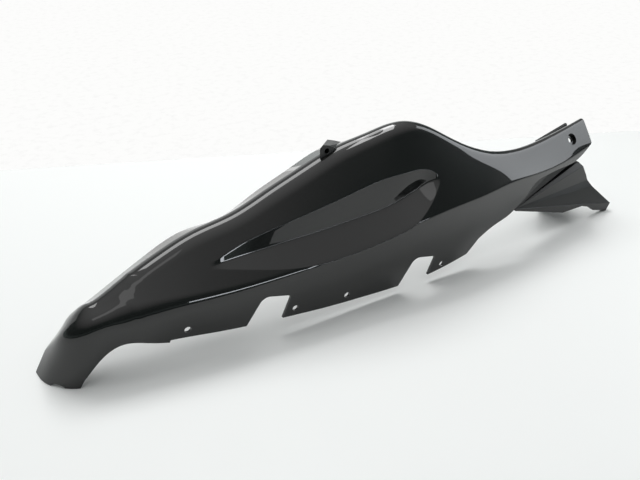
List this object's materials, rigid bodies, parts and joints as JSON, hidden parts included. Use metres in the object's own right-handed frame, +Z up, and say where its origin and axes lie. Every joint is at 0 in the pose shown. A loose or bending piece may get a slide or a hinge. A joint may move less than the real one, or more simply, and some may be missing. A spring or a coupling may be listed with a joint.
{
  "type": "tail fairing",
  "caption": "Motorcycle tail side fairing: thin moulded shell with top flange, V-shaped scoop, slanted edge cut-outs, tail beak and a matte front extension.",
  "frame": {"origin": "under the middle of the part, on the table it rests on", "axes": "+X from the tail tip to the front, -Y towards the painted outer side, +Z up, as it rests off the machine"},
  "size_m": [0.711, 0.086, 0.1708],
  "materials": {
    "painted_panel": "gloss black paint with clear coat over moulded plastic",
    "grained_plastic": "matte black moulded plastic with a fine grain",
    "screw_steel": "zinc plated steel"
  },
  "bodies": {
    "root": {"side_panel": "painted_panel", "front_extension": "grained_plastic", "seat_bracket": "grained_plastic", "extension_screws": "screw_steel"}
  },
  "joints": []
}
